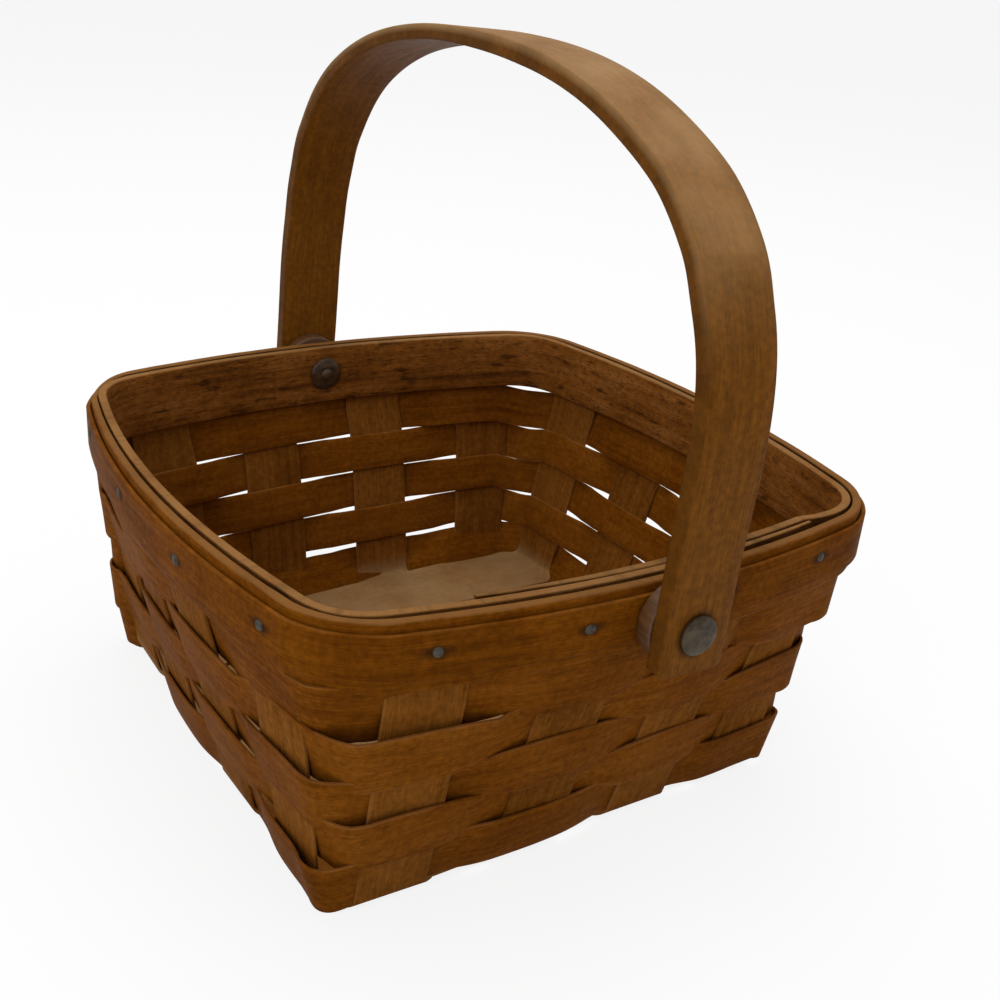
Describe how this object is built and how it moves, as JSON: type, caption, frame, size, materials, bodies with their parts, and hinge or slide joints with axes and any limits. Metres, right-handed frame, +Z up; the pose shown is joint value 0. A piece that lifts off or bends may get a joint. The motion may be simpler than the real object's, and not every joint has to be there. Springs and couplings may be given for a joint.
{
  "type": "berry basket",
  "caption": "Square open berry basket woven from flat wood splints, with a layered wood rim and a bentwood handle that swings on rivets.",
  "frame": {"origin": "centre of the basket's footprint, on the underside of the floor", "axes": "+Z up, +Y from the front wall to the back wall along the handle's hinge axis, +X to the right"},
  "size_m": [0.1888, 0.2114, 0.1908],
  "materials": {
    "splint": "stained and oiled, satin",
    "weaver": "stained and oiled, satin",
    "rim_band": "stained and oiled, satin",
    "handle": "stained and hand-rubbed, satin",
    "spacer": "sawn edges, dull",
    "rivet": "dull brown patina",
    "burr": "dark patina",
    "tack": "dull, slightly rusted"
  },
  "bodies": {
    "basket": {"splint_front_back_1": "splint", "splint_front_back_2": "splint", "splint_front_back_3": "splint", "splint_front_back_4": "splint", "splint_left_right_1": "splint", "splint_left_right_2": "splint", "splint_left_right_3": "splint", "splint_left_right_4": "splint", "weaver_row_1": "weaver", "weaver_row_2": "weaver", "weaver_row_3": "weaver", "weaver_row_4": "weaver", "weaver_row_5": "weaver", "inner_band": "rim_band", "middle_band": "rim_band", "outer_band": "rim_band", "spacer_front": "spacer", "spacer_back": "spacer", "rivet_front": "rivet", "rivet_back": "rivet", "burr_front": "burr", "burr_back": "burr", "tack_front_1": "tack", "tack_front_2": "tack", "tack_front_3": "tack", "tack_front_4": "tack", "tack_right_1": "tack", "tack_right_2": "tack", "tack_right_3": "tack", "tack_right_4": "tack", "tack_back_1": "tack", "tack_back_2": "tack", "tack_back_3": "tack", "tack_back_4": "tack", "tack_left_1": "tack", "tack_left_2": "tack", "tack_left_3": "tack", "tack_left_4": "tack"},
    "handle": {"handle": "handle"}
  },
  "joints": [
    {"name": "handle_swing", "type": "hinge", "parent": "basket", "child": "handle", "pos_m": [0, 0, 0.0752], "axis": [0, 1, 0], "range_deg": [-121, 115]}
  ]
}
